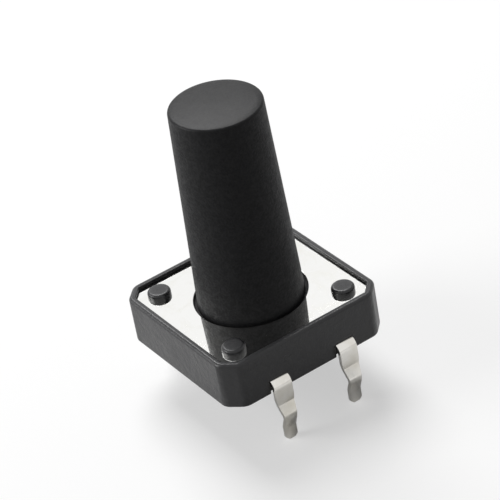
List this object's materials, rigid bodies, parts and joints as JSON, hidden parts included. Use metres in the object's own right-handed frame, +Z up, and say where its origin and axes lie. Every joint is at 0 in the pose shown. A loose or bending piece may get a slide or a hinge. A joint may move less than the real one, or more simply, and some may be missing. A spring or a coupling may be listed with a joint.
{
  "type": "tactile push button switch",
  "caption": "Square through-hole tactile switch with a recessed metal cover plate, riveted corners, a long tapered push stem and kinked solder legs.",
  "frame": {"origin": "centre of the housing's underside, in the plane where it sits on the circuit board", "axes": "+Z up the stem, away from the board; the two rows of legs lie along the -X and +X sides; +Y is the side of the switched terminal"},
  "size_m": [0.0134, 0.012, 0.0205],
  "materials": {
    "housing_nylon": "moulded, fine matte",
    "bright_plate": "bright rolled sheet",
    "stem_plastic": "spark-textured mould",
    "dome_steel": "spring sheet",
    "silvered_brass": "silver plated, bright"
  },
  "bodies": {
    "base": {"housing": "housing_nylon", "cover_plate": "bright_plate", "snap_dome": "dome_steel", "common_terminal": "silvered_brass", "switched_terminal": "silvered_brass"},
    "plunger": {"plunger": "stem_plastic"}
  },
  "joints": [
    {"name": "plunger_press", "type": "slide", "parent": "base", "child": "plunger", "axis": [0, 0, -1], "range_m": [0, 0.0003], "stiffness_N_per_m": 6000, "deforming": ["snap_dome"]}
  ]
}
